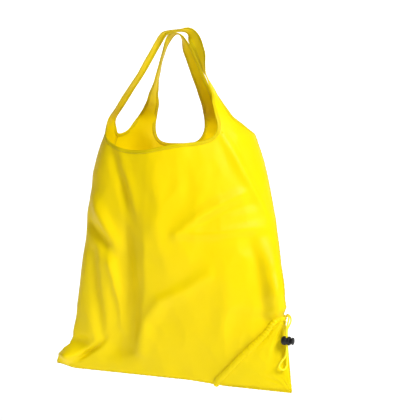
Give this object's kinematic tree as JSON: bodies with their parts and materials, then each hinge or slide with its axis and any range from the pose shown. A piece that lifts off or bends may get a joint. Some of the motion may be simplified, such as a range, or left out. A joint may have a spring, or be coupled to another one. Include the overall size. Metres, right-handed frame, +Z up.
{
  "type": "foldable tote bag",
  "caption": "Thin yellow polyester tote bag hanging open by its handle loops, with a drawstring corner pouch and a sprung cord lock.",
  "frame": {"origin": "the point under the two handle loops where a hook carries the bag", "axes": "+Z up, the front panel faces -Y, +X towards the side seam that the corner pouch is sewn into"},
  "size_m": [0.3994, 0.1651, 0.5423],
  "materials": {
    "polyester": "thin smooth plain weave, slight sheen",
    "hem_cloth": "rolled and stitched plain weave",
    "cord_yarn": "round braided cord, matt",
    "black_plastic": "satin moulded",
    "spring_steel": "drawn wire"
  },
  "bodies": {
    "bag": {"front_panel": "polyester", "back_panel": "polyester", "front_mouth_hem": "hem_cloth", "back_mouth_hem": "hem_cloth", "left_side_cut_hem": "hem_cloth", "right_side_cut_hem": "hem_cloth", "left_side_seam": "hem_cloth", "right_side_seam": "hem_cloth", "bottom_seam": "hem_cloth", "left_bartack": "hem_cloth", "right_bartack": "hem_cloth", "pouch_front": "polyester", "pouch_back": "polyester", "pouch_casing": "hem_cloth", "drawcord_run": "cord_yarn", "drawcord_loop": "cord_yarn"},
    "front_handle": {"front_handle": "polyester", "front_handle_outer_hem": "hem_cloth", "front_handle_inner_hem": "hem_cloth"},
    "back_handle": {"back_handle": "polyester", "back_handle_outer_hem": "hem_cloth", "back_handle_inner_hem": "hem_cloth"},
    "cord_lock": {"lock_barrel": "black_plastic", "lock_spring": "spring_steel"},
    "lock_button": {"lock_plunger": "black_plastic"}
  },
  "joints": [
    {"name": "front_handle_swing", "type": "hinge", "parent": "bag", "child": "front_handle", "pos_m": [-0.0077, -0.0177, -0.1246], "axis": [0.9987, 0.0519, 0], "range_deg": [0, 120]},
    {"name": "back_handle_swing", "type": "hinge", "parent": "bag", "child": "back_handle", "pos_m": [-0.0278, 0.0899, -0.1246], "axis": [-0.9349, -0.3549, 0], "range_deg": [0, 120]},
    {"name": "lock_slide", "type": "slide", "parent": "bag", "child": "cord_lock", "axis": [0, 0, -1], "range_m": [-0.008, 0.009]},
    {"name": "button_press", "type": "slide", "parent": "cord_lock", "child": "lock_button", "axis": [-1, 0, 0], "range_m": [0, 0.0025], "stiffness_N_per_m": 700, "springref_m": -0.003, "deforming": ["lock_spring"]}
  ]
}
